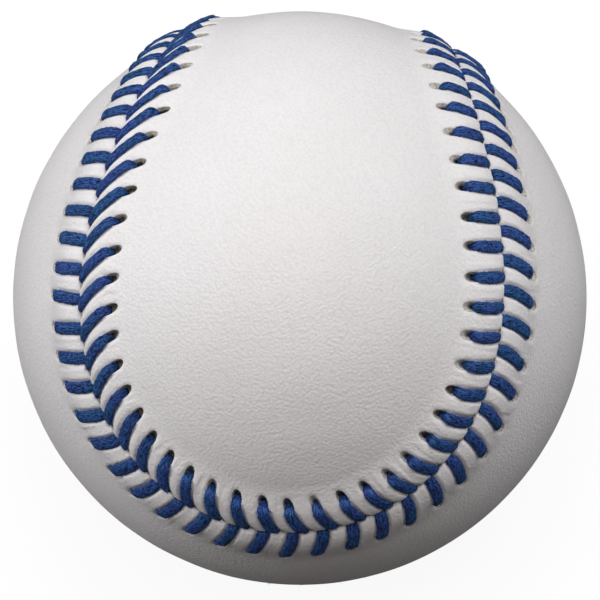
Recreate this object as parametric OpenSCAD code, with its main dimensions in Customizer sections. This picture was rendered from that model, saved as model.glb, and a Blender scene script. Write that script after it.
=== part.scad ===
// Baseball: a cork and rubber core, four windings of yarn, and a leather cover
// of two figure-eight panels, laced together by two threads in double stitches.
//
// Frame: the origin is the centre of the ball. +Z leaves through the middle of
// the front panel's lobe, and +Y through the waist of the same panel.

/* [Ball] */
// Diameter over the plain leather, away from the seam
ball_dia = 74; // [70:0.5:80]

/* [Core] */
// Diameter of the moulded cork and rubber ball in the middle
cork_dia = 20.6; // [16:0.2:24]
// Wall of the two black rubber half shells
black_wall = 3.95; // [2:0.05:5]
// Height of the rubber washer between the black half shells
washer_height = 1.6; // [0.8:0.1:3]
// Wall of the two red rubber half shells
red_wall = 2.4; // [1.5:0.05:4]

/* [Windings] */
// Depth of the second winding, three-ply white wool
second_depth = 1.75; // [1:0.05:3]
// Depth of the third winding, three-ply grey wool
third_depth = 2.15; // [1:0.05:3]
// Depth of the fourth winding, fine white cotton
fourth_depth = 0.45; // [0.3:0.05:1]
// Depth of the adhesive coat that holds the leather
adhesive_depth = 0.15; // [0.1:0.01:0.3]

/* [Cover] */
// Thickness of the plain leather
leather_thick = 1.3; // [1.1:0.05:1.6]
// Height of the raised leather beside the seam over the plain leather
welt_rise = 0.95; // [0.7:0.05:1.3]
// Distance from the seam line at which the raised leather ends
welt_reach = 8.2; // [7.8:0.1:9]
// Distance of the stitch holes from the seam line
hole_distance = 5.9; // [5:0.1:6.3]

/* [Stitching] */
// Number of double stitches round the seam
stitches = 108; // [92:8:116]
// Width of the flattened thread
thread_width = 1.2; // [0.8:0.05:1.3]
// Thickness of the flattened thread
thread_thick = 0.6; // [0.4:0.05:0.7]
// Clearance between the thread and what it passes
thread_clear = 0.1; // [0.08:0.01:0.12]

/* [Hidden] */

// Running gap between one layer and the next
layer_gap = 0.05;

// Facets round a layer and round a stitch hole in a drawn view
layer_facets = 96;
hole_facets = 24;

// Radii of the layers, worked out from the middle and from the outside
ball_r = ball_dia / 2;
cork_r = cork_dia / 2;
black_r = cork_r + black_wall;
core_r = black_r + red_wall;
bed_r = ball_r - leather_thick;
fourth_r = bed_r - adhesive_depth;
third_r = fourth_r - fourth_depth;
second_r = third_r - third_depth;
first_r = second_r - second_depth;

// The seam is a closed curve on the unit sphere, after the angle turn.
// lobe_share sets how far the lobes of one panel wrap round the other, and
// the two smaller shares how round the lobes and how straight the waists are.
lobe_share = 0.283;
bend_share = 0.022;
lift_share = 0.015;
waist_share = 1 - lobe_share;
swing_share = 2 * sqrt(lobe_share * waist_share);
full_turn = 360;
quarter_turn = full_turn / 4;
eighth_turn = full_turn / 8;

function unit(v) = v / norm(v);
function seam_point(turn) = unit([
    waist_share * cos(turn) - lobe_share * cos(3 * turn) + bend_share * cos(5 * turn),
    swing_share * cos(2 * turn) + lift_share * cos(6 * turn),
    -waist_share * sin(turn) - lobe_share * sin(3 * turn) - bend_share * sin(5 * turn)
]);

// Arc length along the seam, from the point between the front and the side
// lobe, against the angle. The steps are short enough to count as the curve.
arc_steps = 1440;
arc_step = full_turn / arc_steps;
arc_table = [
    for (
        i = 0, arc = 0, turn = -eighth_turn;
        i <= arc_steps;
        arc = arc + norm(seam_point(turn + arc_step) - seam_point(turn)),
        turn = turn + arc_step,
        i = i + 1
    ) [arc, turn]
];
seam_arc = arc_table[arc_steps][0];
pitch = seam_arc * ball_r / stitches;

// count is a place along the seam in stitches, and wraps after a full round
function wrapped(count) = count - stitches * floor(count / stitches);
function turn_at(count) = lookup(wrapped(count) * seam_arc / stitches, arc_table);
function along(turn) = unit(seam_point(turn + arc_step) - seam_point(turn - arc_step));

// A point near the seam: count along it, distance across it into the front
// panel, radius from the centre of the ball, and a short way beside that
// point in the seam's own direction
function near_seam(count, distance, radius, beside = 0) =
    let (
        turn = turn_at(count),
        up = seam_point(turn),
        ahead = along(turn),
        across = cross(up, ahead),
        angle = distance / ball_r * 180 / PI
    ) radius * (cos(angle) * up + sin(angle) * across) + beside * ahead;

// Cross-section of the leather beside the seam. The edges stand just apart,
// so that the threads can dive between them, and the underside is raised to
// leave room for the threads that pass beneath.
edge_distance = thread_thick / 2 + thread_clear;
hole_r = thread_width / 2 + thread_clear;
tunnel_distance = hole_distance + hole_r + thread_clear;
tunnel_r = bed_r + thread_thick + 3.5 * thread_clear;

// The leather is first made deeper than it is, and the sphere that it lies on
// is then cut out of it, so that its underside is truly round
deep_r = bed_r - leather_thick;

// Share of the way from the leather's edge to where it lies flat, and share
// of the full rise there
welt_shares = [[0, 0.5], [0.13, 0.77], [0.32, 1], [0.62, 0.52], [1, 0]];

function welt_distance(share) = edge_distance + share * (welt_reach - edge_distance);
function leather_r(distance) =
    let (share = (distance - edge_distance) / (welt_reach - edge_distance))
    ball_r + welt_rise * lookup(share, welt_shares);
crest_distance = welt_distance(welt_shares[2][0]);

// Stations round the cross-section, from the flat outside over the edge and
// back beneath, as distance from the seam line and radius
section = concat(
    [
        for (i = [len(welt_shares) - 1:-1:0])
            let (distance = welt_distance(welt_shares[i][0]))
                [distance, leather_r(distance)]
    ],
    [[edge_distance, tunnel_r], [tunnel_distance, tunnel_r], [welt_reach, deep_r]]
);

// The middle of a panel is filled by rows that join each point of its inner
// rim to the mirrored point across the panel. A row has this many columns.
outer_columns = 12;
inner_columns = 2;
rows = stitches / 2;
first_count = -(stitches / 8 - 1 / 2);

function rim_index(station, row, right) =
    let (count = right ? first_count + row : -stitches / 4 - first_count - row)
    station * stitches + wrapped(count);

// Point of a row, on the great circle between its two ends
function row_point(row, share, radius) =
    let (
        right = unit(near_seam(first_count + row, welt_reach, 1)),
        left = [-right[0], right[1], right[2]],
        spread = acos(right * left)
    ) radius * (sin((1 - share) * spread) * right + sin(share * spread) * left)
        / sin(spread);

function fill_points(columns, radius) = [
    for (row = [1:rows - 2], column = [1:columns - 1])
        row_point(row, column / columns, radius)
];

// Number of a fill point. The ends of a row are points of the rim, and the
// first and the last row have no others.
function fill_index(station, start, columns, row, column) =
    let (
        short_row = row == 0 || row == rows - 1,
        right = short_row ? column < columns / 2 : column == 0,
        left = short_row ? column > columns / 2 : column == columns
    )
    right ? rim_index(station, row, true)
    : left ? rim_index(station, row, false)
    : start + (row - 1) * (columns - 1) + column - 1;

function split(corners) = [
    [corners[0], corners[1], corners[2]],
    [corners[0], corners[2], corners[3]]
];

// Faces of the fill. The triangle in the middle of the first and of the last
// row bridges the rim there.
function fill_faces(station, start, columns) = concat(
    [
        for (row = [1:rows - 3], column = [0:columns - 1])
            each split([
                fill_index(station, start, columns, row, column),
                fill_index(station, start, columns, row, column + 1),
                fill_index(station, start, columns, row + 1, column + 1),
                fill_index(station, start, columns, row + 1, column)
            ])
    ],
    [
        for (column = [0:columns - 1])
            let (near = column < columns / 2)
            [
                rim_index(station, 0, near),
                fill_index(station, start, columns, 1, column + 1),
                fill_index(station, start, columns, 1, column)
            ]
    ],
    [
        for (column = [0:columns - 1])
            let (near = column < columns / 2)
            [
                rim_index(station, rows - 1, near),
                fill_index(station, start, columns, rows - 2, column),
                fill_index(station, start, columns, rows - 2, column + 1)
            ]
    ],
    [
        [
            rim_index(station, 0, true),
            rim_index(station, 0, false),
            fill_index(station, start, columns, 1, columns / 2)
        ],
        [
            rim_index(station, rows - 1, false),
            rim_index(station, rows - 1, true),
            fill_index(station, start, columns, rows - 2, columns / 2)
        ]
    ]
);

function reversed(faces) = [for (face = faces) [face[2], face[1], face[0]]];

module leather_panel() {
    stations = len(section);
    rim_points = [
        for (station = section, count = [0:stitches - 1])
            near_seam(count, station[0], station[1])
    ];
    rim_faces = [
        for (station = [0:stations - 2], count = [0:stitches - 1])
            let (next = (count + 1) % stitches)
            each split([
                station * stitches + count,
                station * stitches + next,
                (station + 1) * stitches + next,
                (station + 1) * stitches + count
            ])
    ];
    outer_points = fill_points(outer_columns, ball_r);
    inner_points = fill_points(inner_columns, deep_r);
    outer_start = len(rim_points);
    inner_start = outer_start + len(outer_points);
    polyhedron(
        points = concat(rim_points, outer_points, inner_points),
        faces = concat(
            rim_faces,
            fill_faces(0, outer_start, outer_columns),
            reversed(fill_faces(stations - 1, inner_start, inner_columns))
        ),
        convexity = 6
    );
}

// The stitches lie midway between the points of the leather's edge
stitch_shift_share = 1 / 2;

module stitch_holes() {
    for (count = [0:stitches - 1]) {
        foot = near_seam(count + stitch_shift_share, hole_distance, bed_r);
        tilt = acos(foot[2] / bed_r);
        bearing = atan2(foot[1], foot[0]);
        rotate([0, tilt, bearing])
            translate([0, 0, bed_r])
                cylinder(h = leather_thick + 2 * welt_rise, r = hole_r, $fn = hole_facets);
    }
}

module cover_panel() {
    difference() {
        leather_panel();
        stitch_holes();
        sphere(r = bed_r, $fn = layer_facets);
    }
}

// One stitch of a thread: up through a hole, over its own panel, down between
// the edges, and on beneath the other panel. Each place gives the count past
// the hole, the distance from the seam line, the radius, and which way the
// thread's upper face leans there, across and outward.
apex_share = 0.46;
under_r = bed_r + thread_thick / 2 + 1.5 * thread_clear;
dive_spread = (thread_width / 2 + thread_clear) / pitch;
function over_r(distance) = leather_r(distance) + thread_clear + thread_thick / 2;

function stitch_places(side) =
    let (
        dive = apex_share + side * dive_spread,
        crest_count = dive * (1 - crest_distance / hole_distance)
    )
    [
        [0, hole_distance, under_r, -1, 1],
        [0, hole_distance, over_r(hole_distance), -1, -1],
        [crest_count, crest_distance, over_r(crest_distance), 0, -1],
        [dive, 0, over_r(edge_distance), 1, -1],
        [dive, 0, under_r, 1, -1]
    ];

// The thread's section, as shares of half its width and half its thickness
section_shares = [[1, 0], [0.5, 1], [-0.5, 1], [-1, 0], [-0.5, -1], [0.5, -1]];

function thread_ring(count, place, side) = [
    for (corner = section_shares)
        let (lean = side * corner[1] * thread_thick / 2)
        near_seam(
            count + stitch_shift_share + place[0],
            side * (place[1] + lean * place[3]),
            place[2] + lean * place[4],
            corner[0] * thread_width / 2
        )
];

// A tucked end lies beneath the leather, on the way between a dive and the
// next hole, with its end cut square
tuck_share = 0.35;
function tuck_ring(count, share, side) =
    let (
        dive = apex_share - side * dive_spread,
        middle = count + stitch_shift_share - (1 - dive) * (1 - share)
    )
    [
        for (corner = section_shares)
            near_seam(
                middle,
                side * hole_distance * share,
                under_r + side * corner[1] * thread_thick / 2,
                corner[0] * thread_width / 2
            )
    ];

// A thread changes panel at each stitch, so two threads fill all the holes
module stitch_thread(first_side) {
    corners = len(section_shares);
    rings = concat(
        [tuck_ring(0, 1 - tuck_share, first_side)],
        [
            for (count = [0:stitches - 1])
                let (side = count % 2 == 0 ? first_side : -first_side)
                for (place = stitch_places(side)) thread_ring(count, place, side)
        ],
        [tuck_ring(stitches, tuck_share, first_side)]
    );
    last = len(rings) - 1;
    polyhedron(
        points = [for (ring = rings) each ring],
        faces = concat(
            [
                for (ring = [0:last - 1], corner = [0:corners - 1])
                    let (next = (corner + 1) % corners)
                    each split([
                        ring * corners + corner,
                        ring * corners + next,
                        (ring + 1) * corners + next,
                        (ring + 1) * corners + corner
                    ])
            ],
            [for (corner = [1:corners - 2]) [0, corner + 1, corner]],
            [
                for (corner = [1:corners - 2])
                    [last * corners, last * corners + corner, last * corners + corner + 1]
            ]
        ),
        convexity = 10
    );
}

// A closed layer round the one beneath it
module layer(outer_r, inner_r) {
    difference() {
        sphere(r = outer_r, $fn = layer_facets);
        sphere(r = inner_r + layer_gap, $fn = layer_facets);
    }
}

// The part of a layer that lies above a height
module upper_half(outer_r, inner_r, height) {
    difference() {
        layer(outer_r, inner_r);
        translate([0, 0, height - ball_r])
            cube(2 * ball_r, center = true);
    }
}

module cork_core() {
    color("#b07a4a")
        sphere(r = cork_r, $fn = layer_facets);
}

module black_shell_upper() {
    color("#26262a")
        upper_half(black_r, cork_r, washer_height / 2 + layer_gap);
}

module black_shell_lower() {
    color("#26262a")
        mirror([0, 0, 1])
            upper_half(black_r, cork_r, washer_height / 2 + layer_gap);
}

module rubber_washer() {
    color("#c23b33")
        intersection() {
            layer(black_r, cork_r);
            cube([2 * ball_r, 2 * ball_r, washer_height], center = true);
        }
}

module red_shell_upper() {
    color("#a8322c")
        upper_half(core_r, black_r, layer_gap / 2);
}

module red_shell_lower() {
    color("#a8322c")
        mirror([0, 0, 1])
            upper_half(core_r, black_r, layer_gap / 2);
}

module first_winding() {
    color("#8d8a86")
        layer(first_r, core_r);
}

module second_winding() {
    color("#e6e1d6")
        layer(second_r, first_r);
}

module third_winding() {
    color("#9a9792")
        layer(third_r, second_r);
}

module fourth_winding() {
    color("#f0ece2")
        layer(fourth_r, third_r);
}

module adhesive_coat() {
    color("#d9cfa8")
        layer(bed_r - layer_gap, fourth_r);
}

module front_cover_panel() {
    color("#ebe6e2")
        cover_panel();
}

// The same panel, turned over about the line that halves the lobes' angle
module back_cover_panel() {
    color("#e4deda")
        rotate(a = 2 * quarter_turn, v = [1, 0, 1])
            cover_panel();
}

module stitch_thread_a() {
    color("#2b4674")
        stitch_thread(1);
}

module stitch_thread_b() {
    color("#243c68")
        stitch_thread(-1);
}

cork_core();
black_shell_upper();
black_shell_lower();
rubber_washer();
red_shell_upper();
red_shell_lower();
first_winding();
second_winding();
third_winding();
fourth_winding();
adhesive_coat();
front_cover_panel();
back_cover_panel();
stitch_thread_a();
stitch_thread_b();
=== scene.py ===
import math

import bpy
import numpy as np
from mathutils import Matrix, Vector


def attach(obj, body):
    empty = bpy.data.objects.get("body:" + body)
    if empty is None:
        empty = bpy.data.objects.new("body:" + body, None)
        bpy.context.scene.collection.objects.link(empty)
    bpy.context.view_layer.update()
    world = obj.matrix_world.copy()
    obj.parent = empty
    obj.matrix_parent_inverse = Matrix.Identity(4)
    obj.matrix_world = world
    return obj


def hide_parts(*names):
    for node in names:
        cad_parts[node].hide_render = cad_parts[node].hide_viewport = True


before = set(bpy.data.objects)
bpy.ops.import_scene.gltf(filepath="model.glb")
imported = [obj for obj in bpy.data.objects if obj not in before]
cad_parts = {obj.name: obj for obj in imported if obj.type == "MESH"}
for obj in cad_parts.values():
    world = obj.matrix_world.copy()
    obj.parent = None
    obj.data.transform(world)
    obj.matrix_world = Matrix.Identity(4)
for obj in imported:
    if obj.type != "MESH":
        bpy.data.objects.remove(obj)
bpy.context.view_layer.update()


# Camera.
# A long lens looks down on the front panel, with the horseshoe of the seam
# below its middle. The ball nearly fills the frame.
MM = 0.001
BALL_R = 37 * MM
camera_side = Vector((0.04003, -0.19021, 0.98093))
camera_up = Vector((-0.07517, 0.97836, 0.19278))
camera_right = camera_up.cross(camera_side)
PICTURE_WIDTH = 600
BALL_PIXELS = 286.8
ball_centre = (299.8, 298.1)
camera_distance = 26.7 * BALL_R
lens_pixels = BALL_PIXELS * math.sqrt((camera_distance / BALL_R) ** 2 - 1)
pixel_size = camera_distance / lens_pixels

camera = bpy.data.objects.new("camera", bpy.data.cameras.new("camera"))
bpy.context.scene.collection.objects.link(camera)
camera.data.sensor_width = 36
camera.data.lens = camera.data.sensor_width * lens_pixels / PICTURE_WIDTH
camera.data.clip_start = 0.05
camera.data.clip_end = 20
middle = PICTURE_WIDTH / 2
camera.location = (
    camera_side * camera_distance
    + camera_right * (middle - ball_centre[0]) * pixel_size
    - camera_up * (middle - ball_centre[1]) * pixel_size
)
camera.rotation_mode = "QUATERNION"
camera.rotation_quaternion = Matrix(
    (camera_right, camera_up, camera_side)
).transposed().to_quaternion()
bpy.context.scene.camera = camera
bpy.context.scene.view_settings.view_transform = "Standard"


# Lamps and surroundings.
# Broad soft lamps stand round the camera, most of them towards the top of the
# picture. The room is pale above and dark below.
def soft_lamp(name, place, size, power, colour=(1, 1, 1)):
    """A round lamp that faces the ball. Its place is in metres to the right
    of the ball, above it and towards the camera."""
    lamp = bpy.data.objects.new(name, bpy.data.lights.new(name, "AREA"))
    bpy.context.scene.collection.objects.link(lamp)
    lamp.data.shape = "DISK"
    lamp.data.size = size
    lamp.data.energy = power
    lamp.data.color = colour
    lamp.location = camera_right * place[0] + camera_up * place[1] + camera_side * place[2]
    lamp.rotation_mode = "QUATERNION"
    lamp.rotation_quaternion = lamp.location.to_track_quat("Z", "Y")


soft_lamp("high_lamp", (0, 0.9, 1.1), 1.2, 3.8)
soft_lamp("upper_right_lamp", (0.6, 0.9, 0.7), 0.9, 3.6)
soft_lamp("right_lamp", (1.1, 0.5, 0.45), 0.8, 3.0)
soft_lamp("left_lamp", (-1.1, 0.3, 0.45), 0.8, 7.5)
soft_lamp("front_lamp", (0, 0.4, 1.4), 0.8, 6.3, (1, 0.94, 0.92))
soft_lamp("low_lamp", (-0.2, -1.0, 0.8), 0.8, 0.2, (1, 0.45, 0.3))


def put(tree, kind, inputs=(), **settings):
    """A node with its settings. An input given a socket is linked, else set."""
    made = tree.nodes.new("ShaderNode" + kind)
    for name, value in settings.items():
        setattr(made, name, value)
    for name, value in dict(inputs).items():
        if isinstance(value, bpy.types.NodeSocket):
            tree.links.new(value, made.inputs[name])
        else:
            made.inputs[name].default_value = value
    return made


ROOM_LIGHT = 0.28
world = bpy.data.worlds.new("room")
bpy.context.scene.world = world
world.use_nodes = True
tree = world.node_tree
room = tree.nodes["Background"]
room_way = put(tree, "TexCoord").outputs["Generated"]
room_height = put(tree, "VectorMath", {0: room_way, 1: camera_up}, operation="DOT_PRODUCT")
room_level = put(
    tree,
    "MapRange",
    {"Value": room_height.outputs["Value"], "From Min": -1, "To Max": ROOM_LIGHT},
)
room_path = put(tree, "LightPath")
room_seen = put(
    tree,
    "Math",
    {0: room_path.outputs["Is Camera Ray"], 1: room_level.outputs[0]},
    operation="MAXIMUM",
)
tree.links.new(room_seen.outputs[0], room.inputs["Strength"])
room.inputs["Color"].default_value = (1, 1, 1, 1)


# Floor.
# A plain white board under the ball. It shows white apart from the ball's
# soft shadow, and its far end meets the white of the room.
def new_material(name):
    """A material with its tree and its Principled BSDF."""
    material = bpy.data.materials.new(name)
    material.use_nodes = True
    return material, material.node_tree, material.node_tree.nodes["Principled BSDF"]


def tones(tree, value, low, high, start=0, end=1):
    """Colours from low to high as a value goes from start to end."""
    ramp = put(tree, "ValToRGB", {"Fac": value})
    low_stop, high_stop = ramp.color_ramp.elements
    low_stop.position, low_stop.color = start, (*low, 1)
    high_stop.position, high_stop.color = end, (*high, 1)
    return ramp.outputs[0]


def mesh_piece(name, points, faces, smooth=True):
    """A piece from its points and faces."""
    mesh = bpy.data.meshes.new(name)
    mesh.from_pydata([tuple(p) for p in points], [], [tuple(f) for f in faces])
    mesh.validate()
    mesh.polygons.foreach_set("use_smooth", [smooth] * len(mesh.polygons))
    piece = bpy.data.objects.new(name, mesh)
    bpy.context.scene.collection.objects.link(piece)
    return piece


FLOOR_HALF = 3
FLOOR_CELLS = 12
BOARD_NEAR = 0.2
BOARD_FAR = 1.2
BOARD_NEAR_WHITE = 0.9
floor_line = np.linspace(-FLOOR_HALF, FLOOR_HALF, FLOOR_CELLS + 1)
floor_points = [(x, y, -BALL_R) for y in floor_line for x in floor_line]
floor_faces = [
    (a, a + 1, a + FLOOR_CELLS + 2, a + FLOOR_CELLS + 1)
    for row in range(FLOOR_CELLS)
    for a in range(row * (FLOOR_CELLS + 1), row * (FLOOR_CELLS + 1) + FLOOR_CELLS)
]
floor = mesh_piece("floor", floor_points, floor_faces)
floor_white, tree, shader = new_material("floor_white")
shader.inputs["Roughness"].default_value = 0.9
board_grain = put(tree, "TexNoise", {"Scale": 90})
board_tone = tones(tree, board_grain.outputs["Fac"], (0.11, 0.11, 0.11), (0.13, 0.13, 0.13))
tree.links.new(board_tone, shader.inputs["Base Color"])
board_path = put(tree, "LightPath")
board_place = put(tree, "TexCoord").outputs["Object"]
board_away = put(tree, "VectorMath", {0: board_place}, operation="LENGTH").outputs["Value"]
board_level = put(
    tree,
    "MapRange",
    {
        "Value": board_away,
        "From Min": BOARD_NEAR,
        "From Max": BOARD_FAR,
        "To Min": BOARD_NEAR_WHITE,
    },
)
board_glow = put(tree, "Emission", {"Color": (1, 1, 1, 1), "Strength": board_level.outputs[0]})
board_dark = put(tree, "Emission", {"Color": (1, 1, 1, 1), "Strength": 0})
board_mix = put(
    tree,
    "MixShader",
    {0: board_path.outputs["Is Camera Ray"], 1: board_dark.outputs[0], 2: board_glow.outputs[0]},
)
board_sum = put(tree, "AddShader", {0: shader.outputs[0], 1: board_mix.outputs[0]})
tree.links.new(board_sum.outputs[0], tree.nodes["Material Output"].inputs["Surface"])
floor.data.materials.append(floor_white)


# Cork core.
# A ball of cork granules bound in rubber, moulded, at the very middle. The
# granules show as brown grains with dark gaps between them.
def laid_over(tree, share, under, over, way="MIX"):
    """A colour laid over another, with its share of the result."""
    inputs = {0: share, 6: under, 7: over}
    return put(tree, "Mix", inputs, data_type="RGBA", blend_type=way).outputs[2]


def bumps(tree, shader, height, strength, depth, inverted=False):
    """A fine relief on a finish, with its depth in metres."""
    inputs = {"Strength": strength, "Distance": depth, "Height": height}
    bump = put(tree, "Bump", inputs, invert=inverted)
    tree.links.new(bump.outputs[0], shader.inputs["Normal"])


def dress(node, material):
    """Gives a node of the frame its finish."""
    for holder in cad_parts[node].material_slots:
        holder.material = material


GRANULES_PER_METRE = 900
cork, tree, shader = new_material("cork")
place = put(tree, "TexCoord").outputs["Object"]
granule_size = {"Vector": place, "Scale": GRANULES_PER_METRE}
granule = put(tree, "TexVoronoi", granule_size)
granule_gap = put(tree, "TexVoronoi", granule_size, feature="DISTANCE_TO_EDGE")
granule_tone = tones(tree, granule.outputs["Color"], (0.30, 0.15, 0.07), (0.62, 0.40, 0.22))
granule_edge = put(
    tree, "MapRange", {"Value": granule_gap.outputs["Distance"], "From Max": 0.12}
).outputs[0]
cork_colour = laid_over(tree, granule_edge, (0.06, 0.035, 0.02, 1), granule_tone)
tree.links.new(cork_colour, shader.inputs["Base Color"])
bumps(tree, shader, granule_edge, 0.8, 0.3 * MM)
shader.inputs["Roughness"].default_value = 0.85
dress("cork_core", cork)


# Rubber shells and washer.
# Two black half shells close round the cork, with a red washer between their
# edges, and a red shell moulded in two halves lies over them.
def moulded_rubber_group():
    """Faint clouding, dust and the fine tooth of a mould, in any colour."""
    group = bpy.data.node_groups.new("moulded_rubber", "ShaderNodeTree")
    for name, kind in (("Colour", "NodeSocketColor"), ("Dust", "NodeSocketColor")):
        group.interface.new_socket(name, in_out="INPUT", socket_type=kind)
    group.interface.new_socket("Colour", in_out="OUTPUT", socket_type="NodeSocketColor")
    group.interface.new_socket("Roughness", in_out="OUTPUT", socket_type="NodeSocketFloat")
    group.interface.new_socket("Height", in_out="OUTPUT", socket_type="NodeSocketFloat")
    given = group.nodes.new("NodeGroupInput").outputs
    result = group.nodes.new("NodeGroupOutput").inputs
    at = put(group, "TexCoord").outputs["Object"]
    cloud = put(group, "TexNoise", {"Vector": at, "Scale": 160, "Detail": 5})
    tooth = put(group, "TexNoise", {"Vector": at, "Scale": 2400, "Detail": 3})
    dusting = put(
        group,
        "MapRange",
        {"Value": cloud.outputs["Fac"], "From Min": 0.45, "From Max": 0.75, "To Max": 0.45},
    )
    tone = laid_over(group, dusting.outputs[0], given["Colour"], given["Dust"])
    rough = put(group, "MapRange", {"Value": cloud.outputs["Fac"], "To Min": 0.5, "To Max": 0.8})
    group.links.new(tone, result["Colour"])
    group.links.new(rough.outputs[0], result["Roughness"])
    group.links.new(tooth.outputs["Fac"], result["Height"])
    return group


moulded_rubber = moulded_rubber_group()


def rubber(name, colour, dust):
    """A moulded rubber of one colour."""
    material, tree, shader = new_material(name)
    look = put(tree, "Group", node_tree=moulded_rubber)
    look.inputs["Colour"].default_value = (*colour, 1)
    look.inputs["Dust"].default_value = (*dust, 1)
    tree.links.new(look.outputs["Colour"], shader.inputs["Base Color"])
    tree.links.new(look.outputs["Roughness"], shader.inputs["Roughness"])
    bumps(tree, shader, look.outputs["Height"], 0.5, 0.1 * MM)
    return material


black_rubber = rubber("black_rubber", (0.018, 0.018, 0.02), (0.1, 0.1, 0.1))
washer_rubber = rubber("washer_rubber", (0.5, 0.05, 0.035), (0.6, 0.25, 0.2))
red_rubber = rubber("red_rubber", (0.36, 0.045, 0.03), (0.5, 0.2, 0.16))
dress("black_shell_upper", black_rubber)
dress("black_shell_lower", black_rubber)
dress("rubber_washer", washer_rubber)
dress("red_shell_upper", red_rubber)
dress("red_shell_lower", red_rubber)


# Windings of yarn.
# Four layers, wound under tension by machine in ever new directions: coarse
# grey wool, white wool, grey wool, and fine white cotton last.
PATCH_LIFT = 0.22
FIBRE_LIFT = 0.08
POLE_START = 0.4
POLE_FULL = 0.7
POLE_DROP = 0.8


def wound_yarn_group():
    """Strands that cross in eight directions, the highest on top. The lower places take a darker
    colour, as painted shade between the top strands.
    """
    group = bpy.data.node_groups.new("wound_yarn", "ShaderNodeTree")
    for name in ("Strands", "Patches"):
        group.interface.new_socket(name, in_out="INPUT", socket_type="NodeSocketFloat")
    for name in ("Colour", "Painted_shade"):
        group.interface.new_socket(name, in_out="INPUT", socket_type="NodeSocketColor")
    group.interface.new_socket("Colour", in_out="OUTPUT", socket_type="NodeSocketColor")
    group.interface.new_socket("Height", in_out="OUTPUT", socket_type="NodeSocketFloat")
    given = group.nodes.new("NodeGroupInput").outputs
    result = group.nodes.new("NodeGroupOutput").inputs
    at = put(group, "TexCoord").outputs["Object"]
    way = put(group, "VectorMath", {0: at}, operation="NORMALIZE")
    top = None
    directions = (
        (0.1, 0.4, 0.0),
        (1.2, 0.3, 0.9),
        (0.5, 1.4, 0.2),
        (2.2, 0.7, 1.9),
        (1.7, 2.3, 0.6),
        (0.8, 2.9, 2.4),
        (2.9, 1.1, 1.4),
        (0.3, 0.9, 2.8),
    )
    for turn in directions:
        turned = put(group, "Mapping", {"Vector": at, "Rotation": turn, "Location": turn})
        strand = put(
            group,
            "TexWave",
            {
                "Vector": turned.outputs[0],
                "Scale": given["Strands"],
                "Distortion": 0.6,
                "Detail": 1,
            },
        )
        patch = put(
            group,
            "TexNoise",
            {"Vector": turned.outputs[0], "Scale": given["Patches"], "Detail": 0},
        )
        raised = put(
            group,
            "Math",
            {0: strand.outputs["Fac"], 1: PATCH_LIFT, 2: patch.outputs["Fac"]},
            operation="MULTIPLY_ADD",
        ).outputs[0]
        # The yarn keeps to great circles, so a direction ends before its poles
        faced = put(group, "Mapping", {"Vector": way.outputs[0], "Rotation": turn})
        steep = put(
            group,
            "Math",
            {0: put(group, "SeparateXYZ", {0: faced.outputs[0]}).outputs["X"]},
            operation="ABSOLUTE",
        )
        pole = put(
            group,
            "MapRange",
            {
                "Value": steep.outputs[0],
                "From Min": POLE_START,
                "From Max": POLE_FULL,
                "To Max": POLE_DROP,
            },
        )
        raised = put(
            group, "Math", {0: raised, 1: pole.outputs[0]}, operation="SUBTRACT"
        ).outputs[0]
        top = (
            raised
            if top is None
            else put(group, "Math", {0: top, 1: raised}, operation="MAXIMUM").outputs[0]
        )
    fibre = put(group, "TexNoise", {"Vector": at, "Scale": 5200, "Detail": 3})
    height = put(
        group,
        "Math",
        {0: fibre.outputs["Fac"], 1: FIBRE_LIFT, 2: top},
        operation="MULTIPLY_ADD",
    )
    # Painted shade: the lower places between the top strands take the darker colour
    depth = put(group, "MapRange", {"Value": height.outputs[0], "From Min": 0.62, "From Max": 0.9})
    tone = laid_over(group, depth.outputs[0], given["Painted_shade"], given["Colour"])
    group.links.new(tone, result["Colour"])
    group.links.new(height.outputs[0], result["Height"])
    return group


wound_yarn = wound_yarn_group()


def yarn(name, strands, patches, colour, shade):
    """A yarn of one colour, with the number of strands to a metre, and a darker colour painted as
    shade on its lower places.
    """
    material, tree, shader = new_material(name)
    look = put(tree, "Group", node_tree=wound_yarn)
    look.inputs["Strands"].default_value = strands
    look.inputs["Patches"].default_value = patches
    look.inputs["Colour"].default_value = (*colour, 1)
    look.inputs["Painted_shade"].default_value = (*shade, 1)
    tree.links.new(look.outputs["Colour"], shader.inputs["Base Color"])
    bumps(tree, shader, look.outputs["Height"], 1, 1.2 * MM)
    shader.inputs["Roughness"].default_value = 0.95
    shader.inputs["Sheen Weight"].default_value = 0.3
    return material


dress("first_winding", yarn("grey_wool", 190, 45, (0.3, 0.29, 0.28), (0.06, 0.058, 0.055)))
dress("second_winding", yarn("white_wool", 220, 50, (0.74, 0.71, 0.64), (0.28, 0.25, 0.21)))
dress("third_winding", yarn("fine_grey_wool", 230, 50, (0.36, 0.35, 0.33), (0.08, 0.075, 0.07)))
dress("fourth_winding", yarn("cotton", 420, 70, (0.84, 0.81, 0.75), (0.4, 0.36, 0.3)))


# Adhesive coat.
# Latex cement brushed over the last winding. It dries to a thin yellowish
# film with thicker runs, and it holds the leather.
adhesive, tree, shader = new_material("adhesive")
place = put(tree, "TexCoord").outputs["Object"]
run = put(tree, "TexNoise", {"Vector": place, "Scale": 140, "Detail": 4, "Distortion": 1.2})
run_tone = tones(tree, run.outputs["Fac"], (0.50, 0.42, 0.24), (0.78, 0.72, 0.52), 0.35, 0.7)
tree.links.new(run_tone, shader.inputs["Base Color"])
bumps(tree, shader, run.outputs["Fac"], 0.6, 0.4 * MM)
shader.inputs["Roughness"].default_value = 0.35
dress("adhesive_coat", adhesive)


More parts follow.
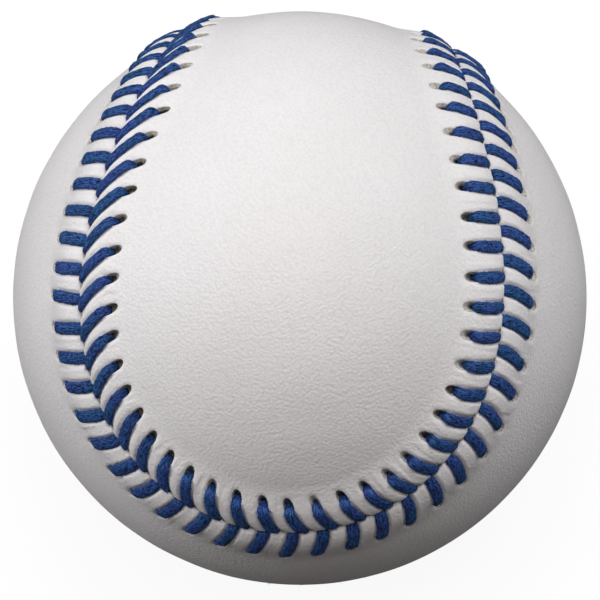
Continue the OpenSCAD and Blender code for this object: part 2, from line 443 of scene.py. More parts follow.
# Seam and stitches.
# The two panels meet along one closed curve. A place on it is counted in
# stitches. The leather near it is raised by the threads that run beneath.
STITCHES = 108
LOBE_SHARE = 0.283
WAIST_SHARE = 1 - LOBE_SHARE
SWING_SHARE = 2 * math.sqrt(LOBE_SHARE * WAIST_SHARE)
BEND_SHARE = 0.022
LIFT_SHARE = 0.015
FAR_PULL = np.array([0, 0.056, -0.028])
FRONT = 1
BACK = -1
HOLE_DISTANCE = {FRONT: 5.7 * MM, BACK: 6.2 * MM}


def unit(vectors):
    """The same directions, each of length 1."""
    return vectors / np.linalg.norm(vectors, axis=-1, keepdims=True)


def die_line(turn):
    """A point of the seam on the unit sphere, as the die cuts the covers."""
    return unit(
        np.stack(
            [
                WAIST_SHARE * np.cos(turn)
                - LOBE_SHARE * np.cos(3 * turn)
                + BEND_SHARE * np.cos(5 * turn),
                SWING_SHARE * np.cos(2 * turn) + LIFT_SHARE * np.cos(6 * turn),
                -WAIST_SHARE * np.sin(turn)
                - LOBE_SHARE * np.sin(3 * turn)
                - BEND_SHARE * np.sin(5 * turn),
            ],
            axis=-1,
        )
    )


def seam_point(turn):
    """The same as sewn. On the far side the covers were pulled off the line."""
    pulled = np.clip(np.sin(turn), 0, 1)[..., None] ** 4
    return unit(die_line(turn) + pulled * FAR_PULL)


turn_table = np.linspace(-math.pi / 4, 7 * math.pi / 4, 14401)
arc_table = np.concatenate(
    [[0], np.cumsum(np.linalg.norm(np.diff(die_line(turn_table), axis=0), axis=1))]
)
PITCH = arc_table[-1] * BALL_R / STITCHES


def seam_frame(count):
    """Up, ahead and across (into the front panel) at a place on the seam."""
    turn = np.interp(np.mod(count, STITCHES) * arc_table[-1] / STITCHES, arc_table, turn_table)
    up = seam_point(turn)
    step = 0.001
    ahead = unit(seam_point(turn + step) - seam_point(turn - step))
    return up, ahead, np.cross(up, ahead)


def near_seam(count, distance, radius):
    """A point at a distance across the seam, positive in the front panel."""
    count, distance, radius = np.broadcast_arrays(count, distance, radius)
    up, _, across = seam_frame(count)
    angle = (distance / BALL_R)[..., None]
    return radius[..., None] * (np.cos(angle) * up + np.sin(angle) * across)


HORSESHOE_BOTTOM = 94.5
# Each drift in stitches: all the way round, then its waves once and twice round
HOLE_DRIFT = {FRONT: (-0.03, 0.81, 0.29, 0), BACK: (-0.03, 0.27, -0.14, -0.23)}
DIVE_DRIFT = {FRONT: (0.45, 0.46, 0.04, -0.05), BACK: (0.21, 0.42, -0.04, -0.09)}


def drift_angle(count):
    """Runs once round the seam, from the bottom of the horseshoe."""
    return 2 * math.pi * (count - HORSESHOE_BOTTOM) / STITCHES


def drifted(count, drift):
    """A place on the seam moved by its drift."""
    even, once, twice, twice_cos = drift
    angle = drift_angle(count)
    return (
        count
        + even
        + once * np.sin(angle)
        + twice * np.sin(2 * angle)
        + twice_cos * np.cos(2 * angle)
    )


def hole_count(count, side):
    """Where a stitch's hole lies. The stitches are wider apart where the
    seam was started, and the holes drift as each panel is stretched."""
    return drifted(count, HOLE_DRIFT[side])


def dive_count(count, side):
    """Where a stitch's thread reaches the seam, ahead of the other side's."""
    return drifted(count, DIVE_DRIFT[side])


def smooth_step(value):
    """Eases from 0 to 1."""
    value = np.clip(value, 0, 1)
    return value * value * (3 - 2 * value)


WELT_RISE = 1.0 * MM
WELT_REACH = 8.2 * MM
CREST = 2.2 * MM
EDGE_DROP = 0.42


def welt(distance):
    """Rise of the leather beside the seam over the plain leather."""
    away = smooth_step((distance - CREST) / (WELT_REACH - CREST))
    towards = np.clip(1 - distance / CREST, 0, 1) ** 2
    return WELT_RISE * np.where(distance > CREST, 1 - away, 1 - EDGE_DROP * towards)


rng = np.random.default_rng(108)
stitch_wobble = rng.normal(0, 1, (2, 6, STITCHES))


def wobble(side, kind, count, size):
    """A small difference from stitch to stitch, the same each time."""
    number = np.mod(np.asarray(count), STITCHES).astype(int)
    return size * np.clip(stitch_wobble[0 if side == FRONT else 1, kind][number], -2, 2)


LEG_STEPS = 25
# A thread comes up at the end of its hole that is nearer to the seam. The
# hole is drawn out beyond it, and leans as the stitch does
LEG_START = 1.35 * MM
HOLE_MIDDLE = -0.475 * MM
HOLE_LENGTHENING = 0.7
HOLE_LEAN = 0.6
STRAY = {FRONT: -0.9 * MM, BACK: 0}
STRAY_MIDDLE = 71
STRAY_SPAN = 2.5
TAIL_MEAN = 0.19
TAIL_SWING = 0.12
PRESS_AT_HOLE = 0.16
PRESS_MORE = 0.28
PRESS_FULL_SHARE = 0.5
HOLE_UNEVEN = 0.02
REACH_UNEVEN = 0.08 * MM
# The two places where each leg bends: shares of the way to the dive, then the
# share of its reach or the distance from the seam
NEAR_BEND = {FRONT: (0.35, 0.68), BACK: (0.4, 0.66)}
FAR_BEND = {FRONT: (0.26, 1.25 * MM), BACK: (0.06, 1.5 * MM)}
DIVE_OVERSHOOT = {FRONT: -0.02 * MM, BACK: -0.1 * MM}


def hole_stray(count, side):
    """How far the holes stray from their row, near the top of one limb."""
    return STRAY[side] * np.exp(-(((count - STRAY_MIDDLE) / STRAY_SPAN) ** 2))


def tail_length(count):
    """How far a front thread runs on along the seam, in stitches."""
    return TAIL_MEAN - TAIL_SWING * np.sin(drift_angle(count))


def press_depth(share):
    """How deep a leg presses the leather in, against its share of the way
    from the hole to the seam."""
    return (PRESS_AT_HOLE + PRESS_MORE * smooth_step(share / PRESS_FULL_SHARE)) * MM


def leg_flat(count, side):
    """A stitch's visible leg, from the near end of its hole to the seam, as
    places along the seam in stitches and distances from it."""
    count = np.asarray(count, float)[..., None]
    share = np.linspace(0, 1, LEG_STEPS)
    hole = hole_count(count, side) + wobble(side, 0, count, HOLE_UNEVEN)
    dive = dive_count(count, side)
    hole = hole + HOLE_LEAN * (dive - hole) * LEG_START / HOLE_DISTANCE[side]
    reach = HOLE_DISTANCE[side] + wobble(side, 1, count, REACH_UNEVEN) + hole_stray(hole, side)
    reach = reach - LEG_START
    near_share, near_reach = NEAR_BEND[side]
    far_share, far_distance = FAR_BEND[side]
    ends = (
        hole,
        hole + near_share * (dive - hole),
        dive - far_share * (dive - hole),
        dive + (tail_length(count) if side == FRONT else 0),
    )
    offs = (reach, reach * near_reach, far_distance, DIVE_OVERSHOOT[side])
    weights = (
        (1 - share) ** 3,
        3 * (1 - share) ** 2 * share,
        3 * (1 - share) * share**2,
        share**3,
    )
    counts = sum(w * e for w, e in zip(weights, ends))
    distances = sum(w * o for w, o in zip(weights, offs))
    return counts, distances


# Cover panels.
# Two equal figure-eight panels of white tanned hide, cut with the same die
# and punched along the edge. The stitches draw them together into a raised
# seam, pressed in under each thread and puffed up between threads.
LEATHER = 1.3 * MM
BED_R = BALL_R - LEATHER
TUNNEL_R = 36.65 * MM
SAMPLES = 20
COLUMNS = STITCHES * SAMPLES
HOLE_CELLS = 3
HOLE_STEP = 0.19 * MM
HOLE_R = 0.66 * MM
WELT_ROWS_END = 2.4 * MM
STRIP_END = 9 * MM
BROAD_HILL = 0.015 * MM
SMALL_HILL = 0.012 * MM
STRAY_EASE = 1.6
STRAY_REACH = 2.4 * MM
# Where the grid is plain again beside a hole and the length of its easing, in
# mouth widths
EASE_ALONG = (2.6, 1.6)
EASE_ACROSS = (4, 3)
leg_counts = {side: leg_flat(np.arange(STITCHES), side) for side in (FRONT, BACK)}
leg_points = {
    side: near_seam(leg_counts[side][0], side * leg_counts[side][1], BALL_R)
    for side in (FRONT, BACK)
}


def strip_rows(side):
    """Distances from the edge of the rows of the strip beside the seam, and
    the numbers of the first and last row across a hole."""
    hole_rows = HOLE_DISTANCE[side] + HOLE_STEP * np.arange(-HOLE_CELLS - 2, HOLE_CELLS + 3)
    near = np.linspace(0, WELT_ROWS_END, 14)
    between = np.linspace(WELT_ROWS_END, hole_rows[0], 10)[1:-1]
    far = np.linspace(hole_rows[-1], STRIP_END, 10)[1:]
    rows = np.concatenate([near, between, hole_rows, far])
    first = len(near) + len(between) + 2
    return rows, first, first + 2 * HOLE_CELLS


def panel_places(stitch, distance, side):
    """Opens the grid round each hole into an oval mouth, then gives the
    places along the seam and the distances from it. The last result is 1 on
    a mouth's rim and grows away from it."""
    number = np.round(stitch)
    row = side * HOLE_DISTANCE[side]
    step = 0.05
    before = near_seam(hole_count(number - step, side), row, BALL_R)
    after = near_seam(hole_count(number + step, side), row, BALL_R)
    scale = np.linalg.norm(after - before, axis=-1) / (2 * step)
    a = (stitch - number) * scale
    b = distance - HOLE_DISTANCE[side]
    cell = scale / SAMPLES
    ring_a, ring_b = np.abs(a) / (HOLE_CELLS * cell), np.abs(b) / (HOLE_CELLS * HOLE_STEP)
    ring = np.maximum(ring_a, ring_b)
    # The mouth is squarer towards the seam, where the thread fills it
    power = np.where(b < 0, 4, 2)
    reach = (np.abs(a) ** power + np.abs(b) ** power + 1e-30) ** (1 / power)
    blend = np.minimum(
        smooth_step((EASE_ALONG[0] - ring_a) / EASE_ALONG[1]),
        smooth_step((EASE_ACROSS[0] - ring_b) / EASE_ACROSS[1]),
    )
    grow = blend * ring * HOLE_R / reach + (1 - blend)
    lean = HOLE_LEAN * (dive_count(number, side) - hole_count(number, side)) * PITCH
    b = b * grow
    b = b + blend * (HOLE_LENGTHENING * np.clip(b, -HOLE_R, HOLE_R) + HOLE_MIDDLE)
    shift = wobble(side, 0, number, HOLE_UNEVEN) * scale
    a = a * grow + blend * (shift - lean * b / HOLE_DISTANCE[side])
    b = b + blend * wobble(side, 1, number, REACH_UNEVEN)
    count = hole_count(number + a / scale, side)
    stray = hole_stray(count, side) * smooth_step(STRAY_EASE - np.abs(b) / STRAY_REACH)
    return count, HOLE_DISTANCE[side] + b + stray, ring


def leg_distance(points, stitch, side):
    """Distance from points of the leather to the nearest leg, and how far
    along that leg, from 0 at its hole to 1 at the seam."""
    nearest = np.full(points.shape[:-1], 1.0)
    where = np.zeros(points.shape[:-1])
    for shift in range(-2, 3):
        number = np.mod(np.round(stitch).astype(int) + shift, STITCHES)
        for step in range(LEG_STEPS):
            gap = np.linalg.norm(points - leg_points[side][number, step], axis=-1)
            closer = gap < nearest
            nearest = np.where(closer, gap, nearest)
            where = np.where(closer, step / (LEG_STEPS - 1), where)
    return nearest, where


def unevenness(points, size, waves, seed):
    """Gentle hills on the leather, from waves in random directions."""
    draw = np.random.default_rng(seed)
    total = np.zeros(points.shape[:-1])
    for _ in range(waves):
        direction = unit(draw.normal(0, 1, 3)) * 2 * math.pi / (size * draw.uniform(0.7, 1.4))
        total += np.sin(points @ direction + draw.uniform(0, 2 * math.pi))
    return total / math.sqrt(waves)


def broad_hills(points):
    """The hills that run over the whole ball."""
    return BROAD_HILL * unevenness(points, 7 * MM, 14, 5)


# The gap between the edges, and how it opens where a thread dives
GAP = 0.02 * MM
GAP_OPENING = 0.12 * MM
GAP_OPENING_SPAN = 0.6 * MM
GAP_DEPTH = 1.4 * MM


def edge_opening(stitch, edge_count):
    """How far a panel's edge stands off the seam line."""
    opening = np.full(COLUMNS, GAP)
    for shift in range(-2, 3):
        number = np.round(stitch).astype(int) + shift
        away = (edge_count - dive_count(number, FRONT) - 0.5 * tail_length(number)) * PITCH
        opening += GAP_OPENING * np.exp(-((away / GAP_OPENING_SPAN) ** 2))
    return opening


# The groove beneath a thread, and the fade to plain leather beyond the holes
GROOVE_HALF = 0.62 * MM
GROOVE_SIDE = 0.6 * MM
FADE_END = 7.2 * MM
FADE_LENGTH = 2.2 * MM
# The leather is drawn in at a hole's mouth and rounded at the cut edge
MOUTH_DROP = 0.1 * MM
EDGE_ROUND = 0.24 * MM
EDGE_ROUND_WIDTH = 0.5 * MM
# The puffs between the stitches differ in height
PUFF = 0.05 * MM
PUFF_START = 0.9 * MM
PUFF_SIDE = 0.6 * MM
# Blue dye from the threads, and painted shade in the grooves beside them, reach a little past them
DYE_SHADE_START = 0.7 * MM
DYE_SHADE_SIDE = 0.3 * MM


def strip_outside(side, stitch, rows):
    """The outer face of the strip beside the seam, then its edge (places,
    distances and heights) and how much each point is pressed by a thread."""
    stitch_grid, row_grid = np.meshgrid(stitch, rows[::-1])
    count, distance, ring = panel_places(stitch_grid, row_grid, side)
    near_edge = np.clip(1 - row_grid / GAP_DEPTH, 0, 1)
    distance = distance + edge_opening(stitch, count[-1]) * near_edge

    flat = near_seam(count, side * distance, BALL_R)
    gap, where = leg_distance(flat, stitch_grid, side)
    groove = press_depth(where) * (1 - smooth_step((gap - GROOVE_HALF) / GROOVE_SIDE))
    fade = smooth_step((FADE_END - row_grid) / FADE_LENGTH)
    mouth = MOUTH_DROP * (1 - smooth_step((ring - 0.9) / 0.8))
    edge = EDGE_ROUND * np.clip(1 - row_grid / EDGE_ROUND_WIDTH, 0, 1) ** 2
    between = smooth_step((gap - PUFF_START) / PUFF_SIDE)
    puff = wobble(side, 2, np.round(stitch_grid), PUFF) * between
    height = (
        welt(distance)
        - groove * fade
        - mouth
        - edge
        + puff * fade
        + broad_hills(flat)
        + SMALL_HILL * unevenness(flat, 2.2 * MM, 20, 6) * fade
    )
    # The mask of painted shade and blue dye in the grooves along the threads
    pressed = (1 - smooth_step((gap - DYE_SHADE_START) / DYE_SHADE_SIDE)) * fade
    outside = flat / BALL_R * (BALL_R + height)[..., None]
    return outside, (count[-1], distance[-1], height[-1]), pressed


WALL_TOP_DROP = 0.12 * MM
UNDER_NEAR = [1.5 * MM, 3.4 * MM]
UNDER_FAR = [7.2 * MM, 7.8 * MM, STRIP_END]
BED_GAP = 0.02 * MM


def edge_wall(side, edge):
    """The cut edge, from just under the outer face to the tunnel's roof."""
    count, distance, height = edge
    top = BALL_R + height - WALL_TOP_DROP
    radii = (top, (top + TUNNEL_R) / 2, np.full(COLUMNS, TUNNEL_R))
    return np.stack([near_seam(count, side * distance, radius) for radius in radii])


def strip_underside(side, stitch, hole_rows):
    """The roof of the low tunnel that holds the threads, and past the holes
    the face that is stuck to the ball."""
    rows = np.concatenate([UNDER_NEAR, hole_rows, UNDER_FAR])
    radii = np.full(len(rows), TUNNEL_R)
    radii[-2:] = BED_R + BED_GAP
    count, distance, _ = panel_places(*np.meshgrid(stitch, rows), side)
    return near_seam(count, side * distance, radii[:, None])


HOLE_SIZE = 2 * HOLE_CELLS
HOLE_RIM = (
    [(0, c) for c in range(HOLE_SIZE)]
    + [(r, HOLE_SIZE) for r in range(HOLE_SIZE)]
    + [(HOLE_SIZE, c) for c in range(HOLE_SIZE, 0, -1)]
    + [(r, 0) for r in range(HOLE_SIZE, 0, -1)]
)
# The width of a hole at its waist, as a share of that at its mouth
WAIST = 0.46
WAIST_UNEVEN = 0.13
WAIST_SWING = 0.3
WAIST_LEAST = 0.2
WAIST_MOST = 0.8


def hole_wall(points, mouth, foot, side, stitch_number, start):
    """Points and faces of a hole's wall. It leans in from the mouth towards
    the seam, where the thread has drawn it, and widens again at its foot. The
    front holes are straighter on one limb and slope more on the other."""
    mouth_anchor = points[mouth[HOLE_CELLS]]
    foot_anchor = points[foot[HOLE_CELLS]]
    waist = WAIST + wobble(side, 4, stitch_number, WAIST_UNEVEN)
    if side == FRONT:
        straighter = min(0.6 - math.sin(drift_angle(stitch_number)), 1)
        waist = min(max(waist + WAIST_SWING * straighter, WAIST_LEAST), WAIST_MOST)
    made = []
    rings = [mouth]
    for share, pinch in ((0.08, 0.97), (0.45, 0.5 + 0.7 * waist), (0.9, waist)):
        rings.append(list(range(start + len(made), start + len(made) + len(HOLE_RIM))))
        made.extend(
            mouth_anchor * (1 - share)
            + foot_anchor * share
            + pinch * (points[mouth] - mouth_anchor) * (1 - share)
            + pinch * (points[foot] - foot_anchor) * share
        )
    rings.append(foot)
    faces = [
        (upper[i], upper[i - 1], lower[i - 1], lower[i])
        for upper, lower in zip(rings, rings[1:])
        for i in range(len(HOLE_RIM))
    ]
    return made, faces


def middle(points, right, left, columns, outward):
    """Points and faces of arcs that fill the middle of a panel. Each joins a
    point of one limb to its mirrored one."""
    here, there = points[right], points[left]
    radius = np.linalg.norm(here, axis=1)[:, None, None]
    radius_there = np.linalg.norm(there, axis=1)[:, None, None]
    here, there = unit(here)[:, None], unit(there)[:, None]
    spread = np.arccos(np.clip((here * there).sum(-1, keepdims=True), -1, 1))
    share = (np.arange(1, columns) / columns)[None, :, None]
    arcs = np.sin((1 - share) * spread) * here + np.sin(share * spread) * there
    arcs = arcs / np.sin(spread)
    if outward:
        arcs = arcs * (BALL_R + broad_hills(arcs * BALL_R)[..., None])
    else:
        arcs = arcs * (radius * (1 - share) + radius_there * share)
    made = arcs[1:-1].reshape(-1, 3)

    table = np.zeros((len(right), columns + 1), int)
    table[:, 0] = right
    table[:, -1] = left
    table[1:-1, 1:-1] = len(points) + np.arange(len(made)).reshape(len(right) - 2, -1)
    for row in (0, -1):
        table[row, 1 : columns // 2] = table[row, 0]
        table[row, columns // 2 : -1] = table[row, -1]
    quads = np.stack(
        [table[:-1, :-1], table[1:, :-1], table[1:, 1:], table[:-1, 1:]], axis=-1
    ).reshape(-1, 4)
    return made, quads[:, ::-1] if outward else quads


def whole_faces(faces):
    """The faces without their repeated corners."""
    for face in faces.tolist():
        corners = [v for i, v in enumerate(face) if v != face[i - 1]]
        if len(set(corners)) > 2:
            yield corners


# Where the arcs that fill the middle of a panel begin, in stitches
LOBE_TIP = {FRONT: -13.5, BACK: 13.5}
OUTER_ARC_CELLS = 24
INNER_ARC_CELLS = 6


def cover_panel(name, side):
    """One panel: a strip beside the seam, a wall at its edge, its underside,
    the walls of its holes, and the middle filled from limb to limb."""
    rows, first, last = strip_rows(side)
    stitch = np.arange(COLUMNS) / SAMPLES
    outside, edge, pressed_strip = strip_outside(side, stitch, rows)
    wall = edge_wall(side, edge)
    underside = strip_underside(side, stitch, rows[first : last + 1])
    grid = np.concatenate([outside, wall, underside])
    total = len(grid)
    points = grid.reshape(-1, 3)
    number = np.arange(total * COLUMNS).reshape(total, COLUMNS)

    # The grid is left open at each hole, outside and underneath
    keep = np.ones((total - 1, COLUMNS), bool)
    mouth_first = len(rows) - 1 - last
    foot_first = len(rows) + len(wall) + len(UNDER_NEAR)
    centres = np.arange(STITCHES) * SAMPLES
    for top_row in (mouth_first, foot_first):
        for row in range(top_row, top_row + HOLE_SIZE):
            for column in range(-HOLE_CELLS, HOLE_CELLS):
                keep[row, np.mod(centres + column, COLUMNS)] = False
    row_at, column_at = np.nonzero(keep)
    after = np.mod(column_at + 1, COLUMNS)
    faces = [
        np.stack(
            [
                number[row_at, column_at],
                number[row_at, after],
                number[row_at + 1, after],
                number[row_at + 1, column_at],
            ],
            axis=1,
        )
    ]

    hole_points = []
    for stitch_number, centre in enumerate(centres):
        columns = [(centre - HOLE_CELLS + c) % COLUMNS for _, c in HOLE_RIM]
        mouth = [number[mouth_first + HOLE_SIZE - r, c] for (r, _), c in zip(HOLE_RIM, columns)]
        foot = [number[foot_first + r, c] for (r, _), c in zip(HOLE_RIM, columns)]
        start = grid.size // 3 + len(hole_points)
        made, made_faces = hole_wall(points, mouth, foot, side, stitch_number, start)
        hole_points.extend(made)
        faces.append(made_faces)
    points = np.concatenate([points, hole_points])
    raw_end = len(points)

    first_column = int(round(LOBE_TIP[side] * SAMPLES))
    half = np.arange(COLUMNS // 2)
    right = np.mod(first_column + half, COLUMNS)
    left = np.mod(first_column - 1 - half, COLUMNS)
    for row, columns, outward in (
        (0, OUTER_ARC_CELLS, True),
        (total - 1, INNER_ARC_CELLS, False),
    ):
        made, made_faces = middle(points, number[row, right], number[row, left], columns, outward)
        points = np.concatenate([points, made])
        faces.append(made_faces)

    # Faces look outwards, and points that no face uses are dropped
    faces = np.concatenate(faces)
    if side == FRONT:
        faces = faces[:, ::-1]
    used = np.unique(faces)
    renumber = np.zeros(len(points), int)
    renumber[used] = np.arange(len(used))
    piece = mesh_piece(name, points[used], whole_faces(renumber[faces]))

    # Where the hide is cut and shows its raw fibre, and where threads press it, which carries the
    # painted shade and dye along them
    raw = np.zeros(len(points))
    raw[outside.size // 3 : raw_end] = 1
    pressed = np.zeros(len(points))
    pressed[: outside.size // 3] = pressed_strip.reshape(-1)
    for label, values in (("raw", raw), ("pressed", pressed)):
        layer = piece.data.attributes.new(label, "FLOAT", "POINT")
        layer.data.foreach_set("value", values[used])
    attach(piece, "root")
    return piece


front_panel = cover_panel("leather_front", FRONT)
back_panel = cover_panel("leather_back", BACK)
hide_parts("front_cover_panel")
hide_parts("back_cover_panel")

white_leather, tree, shader = new_material("white_leather")
place = put(tree, "TexCoord").outputs["Object"]
hide_cloud = put(tree, "TexNoise", {"Vector": place, "Scale": 45, "Detail": 4})
hide_tone = tones(
    tree, hide_cloud.outputs["Fac"], (0.825, 0.81, 0.82), (0.875, 0.863, 0.876), 0.3, 0.7
)
grain = put(
    tree,
    "TexVoronoi",
    {"Vector": place, "Scale": 2700, "Smoothness": 0.6},
    feature="SMOOTH_F1",
)
pore = put(tree, "TexNoise", {"Vector": place, "Scale": 7000, "Detail": 2})
# Painted shade: the colour is up to 7 per cent darker where the grain's bump sinks between its
# pebbles
painted_grain_shade = put(
    tree,
    "MapRange",
    {
        "Value": grain.outputs["Distance"],
        "From Min": 0.2,
        "From Max": 0.8,
        "To Min": 1,
        "To Max": 0.93,
    },
)
hide_with_grain_shade = laid_over(tree, 1.0, hide_tone, painted_grain_shade.outputs[0], "MULTIPLY")
pressed = put(tree, "Attribute", attribute_name="pressed")
raw = put(tree, "Attribute", attribute_name="raw")
# Painted shade in the grooves under and beside the threads, with a blue tint of dye from them, up
# to a fifth of the colour
dye_and_painted_shade = put(tree, "MapRange", {"Value": pressed.outputs["Fac"], "To Max": 0.2})
dyed_and_shaded = laid_over(tree, dye_and_painted_shade.outputs[0], hide_with_grain_shade, (0.3, 0.33, 0.5, 1))
fibre = put(tree, "TexNoise", {"Vector": place, "Scale": 5000, "Detail": 4})
fibre_tone = tones(
    tree, fibre.outputs["Fac"], (0.33, 0.31, 0.275), (0.76, 0.73, 0.67), 0.35, 0.65
)
hide_colour = laid_over(tree, raw.outputs["Fac"], dyed_and_shaded, fibre_tone)
tree.links.new(hide_colour, shader.inputs["Base Color"])
PORE_DEPTH = 0.35
grain_height = put(
    tree,
    "Math",
    {0: pore.outputs["Fac"], 1: PORE_DEPTH, 2: grain.outputs["Distance"]},
    operation="MULTIPLY_ADD",
)
bumps(tree, shader, grain_height.outputs[0], 0.7, 0.09 * MM, inverted=True)
shader.inputs["Roughness"].default_value = 0.55
shader.inputs["Specular IOR Level"].default_value = 0.35
front_panel.data.materials.append(white_leather)
back_panel.data.materials.append(white_leather)


# Stitch threads.
# Two waxed blue cotton threads, flattened by the pull. Each comes up through
# a hole, crosses its own panel, dives between the edges, and comes up through
# the next hole of the other panel.
THREAD_HALF_WIDTH = 0.79 * MM
THREAD_HALF_THICK = 0.32 * MM
UNDER_R = BED_R + 0.42 * MM
AROUND = 12
BEND_IN = 0.5 * MM
BEND_OUT = 0.8 * MM
SWELL = 1.2 * MM
# How much narrower a thread gets at its dive, and over what length
NARROWING = {FRONT: (0.55, 1.2 * MM), BACK: (0.12, 0.6 * MM)}
WIDTH_UNEVEN = 0.035
KEPT_STEPS = [0, 1, 3, 6, 10, 14, 18, 21, 23, 24]
UNDER_WIDTH = 0.55
PAST_SEAM = 0.3 * MM


def thread_route(first_side):
    """Corner points of a thread's route: count, distance across the seam and
    radius, with the share of its full width there."""
    route = []
    for number in range(STITCHES):
        side = first_side if number % 2 == 0 else -first_side
        counts, distances = (v[0] for v in leg_flat(np.array([number]), side))
        shares = np.linspace(0, 1, LEG_STEPS)
        top = BALL_R + welt(np.abs(distances)) - press_depth(shares) + THREAD_HALF_THICK
        along_leg = np.concatenate(
            [[0], np.cumsum(np.hypot(np.diff(counts) * PITCH, np.diff(distances)))]
        )
        from_seam = along_leg[-1] - along_leg
        # It bends down into the hole at one end and into the gap at the other
        drop_in = BEND_IN - np.sqrt(BEND_IN**2 - np.clip(BEND_IN - along_leg, 0, None) ** 2)
        drop_out = BEND_OUT - np.sqrt(BEND_OUT**2 - np.clip(BEND_OUT - from_seam, 0, None) ** 2)
        radius = top - drop_in - drop_out
        # A slanting stitch is pulled longer and lies narrower
        slant = (distances[0] - distances[-1]) / along_leg[-1]
        width = (0.9 + 0.1 * smooth_step(along_leg / SWELL)) * (0.7 + 0.3 * slant)
        narrowing, taper = NARROWING[side]
        width = width * (1 - narrowing * smooth_step(1 - from_seam / taper))
        width = width + wobble(side, 3, number, WIDTH_UNEVEN)
        distances = side * distances
        route.append((counts[0], distances[0], UNDER_R, 0.75))
        route.append((counts[0], distances[0], (UNDER_R + radius[0]) / 2, 0.8))
        kept = KEPT_STEPS
        route += list(zip(counts[kept], distances[kept], radius[kept], width[kept]))
        route.append((counts[-1], distances[-1], (UNDER_R + radius[-1]) / 2, 0.5))
        route.append((counts[-1], distances[-1] - side * PAST_SEAM, UNDER_R, UNDER_WIDTH))
        next_counts, next_distances = leg_flat(np.array([number + 1]), -side)
        for share in (0.35, 0.7):
            route.append(
                (
                    counts[-1] * (1 - share) + next_counts[0, 0] * share,
                    -side * next_distances[0, 0] * share,
                    UNDER_R,
                    UNDER_WIDTH,
                )
            )
    return np.array(route[:-1])


def rounded(route, times):
    """Rounds a route by cutting its corners again and again."""
    for _ in range(times):
        before, after = route[:-1], route[1:]
        cut = np.empty((2 * len(before), route.shape[1]))
        cut[0::2] = 0.75 * before + 0.25 * after
        cut[1::2] = 0.25 * before + 0.75 * after
        route = np.concatenate([route[:1], cut, route[-1:]])
    return route


HAIRS = 7000
HAIR_R = 0.026 * MM
HAIR_ROOT = 0.05 * MM
HAIR_SHORTEST = 0.12 * MM
HAIR_LONGEST = 0.45 * MM


def loose_fibres(rings, centre, first, draw):
    """Points and faces of fine needles that stand off a thread where it lies
    on the leather, with the ring that each grows from."""
    shown = np.nonzero(np.linalg.norm(centre, axis=1) > BALL_R)[0]
    ring = draw.choice(shown, HAIRS)
    around = draw.integers(0, AROUND, HAIRS)
    root = rings[ring, around]
    out = unit(root - centre[ring])
    stray = draw.normal(0, 1, (HAIRS, 3))
    heading = unit(out + 0.6 * stray)
    side = unit(np.cross(heading, stray))
    other = np.cross(heading, side)
    foot = root - HAIR_ROOT * heading
    corners = [
        foot + HAIR_R * (math.cos(turn) * side + math.sin(turn) * other)
        for turn in np.arange(3) * 2 * math.pi / 3
    ]
    tip = root + heading * draw.uniform(HAIR_SHORTEST, HAIR_LONGEST, (HAIRS, 1))
    points = np.stack([*corners, tip], axis=1).reshape(-1, 3)
    a, b, c, top = first + np.arange(4 * HAIRS).reshape(HAIRS, 4).T
    faces = np.concatenate(
        [np.stack(corner, axis=1) for corner in ((a, b, top), (b, c, top), (c, a, top), (c, b, a))]
    )
    return points, faces.tolist(), np.repeat(ring, 4), np.repeat(around, 4)


TWIST = 2.4 * MM
PLY_RELIEF = 0.035
PLY_UNEVEN = 0.018
LUMP = 0.035
LUMPS = 6000
SQUARENESS = 0.85


def squared(wave):
    """A sine or cosine drawn out towards the corners of a square."""
    return np.sign(wave) * np.abs(wave) ** SQUARENESS


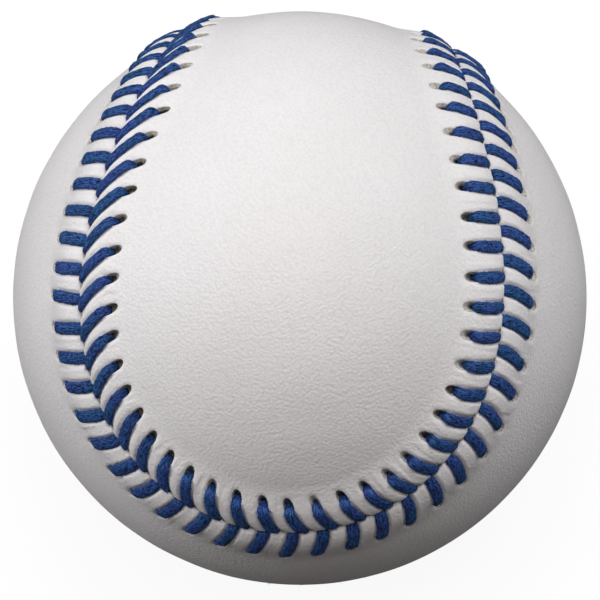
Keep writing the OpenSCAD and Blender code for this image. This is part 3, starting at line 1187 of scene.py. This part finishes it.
def stitch_thread(name, first_side, seed):
    """One thread: a flattened, twisted tube along its route, with loose
    fibres. Each point keeps its place along and round the thread, for the
    pattern of the fibres."""
    route = rounded(thread_route(first_side), 2)
    count, distance, radius, width = route.T
    centre = near_seam(count, distance, radius)
    ahead = seam_frame(count)[1]
    tangent = unit(np.gradient(centre, axis=0))
    wide = unit(ahead - (ahead * tangent).sum(-1, keepdims=True) * tangent)
    thick = np.cross(tangent, wide)
    along = np.concatenate([[0], np.cumsum(np.linalg.norm(np.diff(centre, axis=0), axis=1))])
    draw = np.random.default_rng(seed)
    angle = np.arange(AROUND) * 2 * math.pi / AROUND
    ply = 1 + PLY_RELIEF * np.cos(3 * (angle[None] - along[:, None] / TWIST))
    ply = ply + draw.normal(0, PLY_UNEVEN, ply.shape)
    lump = np.interp(along, np.linspace(0, along[-1], LUMPS), draw.normal(0, 1, LUMPS))
    lumps = (1 + LUMP * lump)[:, None]
    w = squared(np.cos(angle)[None]) * width[:, None] * THREAD_HALF_WIDTH * ply * lumps
    t = squared(np.sin(angle)[None]) * THREAD_HALF_THICK * ply * lumps
    rings = centre[:, None] + w[..., None] * wide[:, None] + t[..., None] * thick[:, None]
    total = len(rings)
    points = np.concatenate([rings.reshape(-1, 3), centre[:1], centre[-1:]])
    number = np.arange(total * AROUND).reshape(total, AROUND)
    after = np.roll(number, -1, axis=1)
    faces = np.stack([number[:-1], after[:-1], after[1:], number[1:]], axis=-1).reshape(-1, 4)
    faces = faces.tolist()
    # A cap closes each end, which lies out of sight beneath the leather
    start_cap, end_cap = total * AROUND, total * AROUND + 1
    for i in range(AROUND):
        faces.append((after[0, i], number[0, i], start_cap))
        faces.append((number[-1, i], after[-1, i], end_cap))
    hairs, hair_faces, ring, around = loose_fibres(rings, centre, len(points), draw)
    points = np.concatenate([points, hairs])
    piece = mesh_piece(name, points, faces + hair_faces)
    ring = np.concatenate([np.repeat(np.arange(total), AROUND), [0, total - 1], ring])
    around = np.concatenate([np.tile(np.arange(AROUND), total), [0, 0], around])
    layer = piece.data.attributes.new("fibre", "FLOAT_VECTOR", "POINT")
    strand = np.stack(
        [
            along[ring],
            np.cos(angle[around]) * THREAD_HALF_WIDTH,
            np.sin(angle[around]) * THREAD_HALF_WIDTH,
        ],
        axis=1,
    )
    layer.data.foreach_set("vector", strand.reshape(-1))
    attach(piece, "root")
    return piece


thread_a = stitch_thread("thread_a", FRONT, 1)
thread_b = stitch_thread("thread_b", BACK, 2)
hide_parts("stitch_thread_a")
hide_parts("stitch_thread_b")

FLECK_LIFT = 0.6
blue_thread, tree, shader = new_material("blue_thread")
strand = put(tree, "Attribute", attribute_name="fibre").outputs["Vector"]
place = put(tree, "TexCoord").outputs["Object"]
stretched = put(tree, "Mapping", {"Vector": strand, "Scale": (0.18, 1, 1)})
fibres = put(tree, "TexNoise", {"Vector": stretched.outputs[0], "Scale": 9000, "Detail": 3})
flecks = put(tree, "TexNoise", {"Vector": place, "Scale": 5000, "Detail": 2})
mixed = put(
    tree,
    "Math",
    {0: flecks.outputs["Fac"], 1: FLECK_LIFT, 2: fibres.outputs["Fac"]},
    operation="MULTIPLY_ADD",
)
thread_tone = tones(
    tree, mixed.outputs[0], (0.0005, 0.002, 0.013), (0.054, 0.14, 0.45), 0.66, 0.94
)
dye = put(tree, "TexNoise", {"Vector": place, "Scale": 230, "Detail": 1})
dye_tint = tones(tree, dye.outputs["Fac"], (0.72, 0.98, 0.88), (1.0, 0.88, 1.0), 0.35, 0.65)
dyed = laid_over(tree, 1.0, thread_tone, dye_tint, "MULTIPLY")
tree.links.new(dyed, shader.inputs["Base Color"])
bumps(tree, shader, mixed.outputs[0], 0.7, 0.12 * MM)
shader.inputs["Roughness"].default_value = 0.6
shader.inputs["Specular IOR Level"].default_value = 0.12
thread_a.data.materials.append(blue_thread)
thread_b.data.materials.append(blue_thread)
